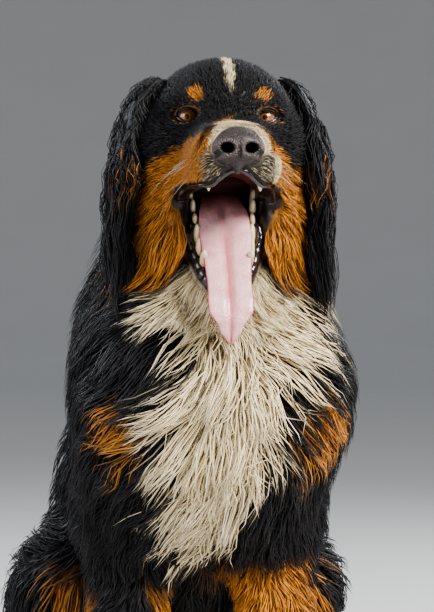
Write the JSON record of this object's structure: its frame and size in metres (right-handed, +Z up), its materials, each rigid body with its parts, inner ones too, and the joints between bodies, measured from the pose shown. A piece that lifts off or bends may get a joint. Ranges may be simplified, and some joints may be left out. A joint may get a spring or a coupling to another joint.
{
  "type": "bernese mountain dog model",
  "caption": "Life-size still model of a sitting, long-coated mountain dog that pants with its tongue out, for display.",
  "frame": {"origin": "on the floor, at the middle of the flat on the rump that the dog sits on", "axes": "+Z up, the dog faces -Y, +X is its left side"},
  "size_m": [0.4293, 1.1156, 0.8666],
  "materials": {
    "coat": "long glossy hair",
    "tongue": "moist",
    "nose": "moist, finely pebbled",
    "eye": "wet",
    "lip": "moist",
    "tooth": "glossy",
    "claw": "horn"
  },
  "bodies": {
    "root": {"head": "coat", "lower_jaw": "coat", "tongue": "tongue", "nose_pad": "nose", "eye_left": "eye", "eye_right": "eye", "ear_left": "coat", "ear_right": "coat", "neck": "coat", "torso": "coat", "rump": "coat", "tail_base": "coat", "tail_tip": "coat", "foreleg_left": "coat", "forepaw_left": "coat", "thigh_left": "coat", "shank_left": "coat", "hind_foot_left": "coat", "foreleg_right": "coat", "forepaw_right": "coat", "thigh_right": "coat", "shank_right": "coat", "hind_foot_right": "coat"}
  },
  "joints": []
}
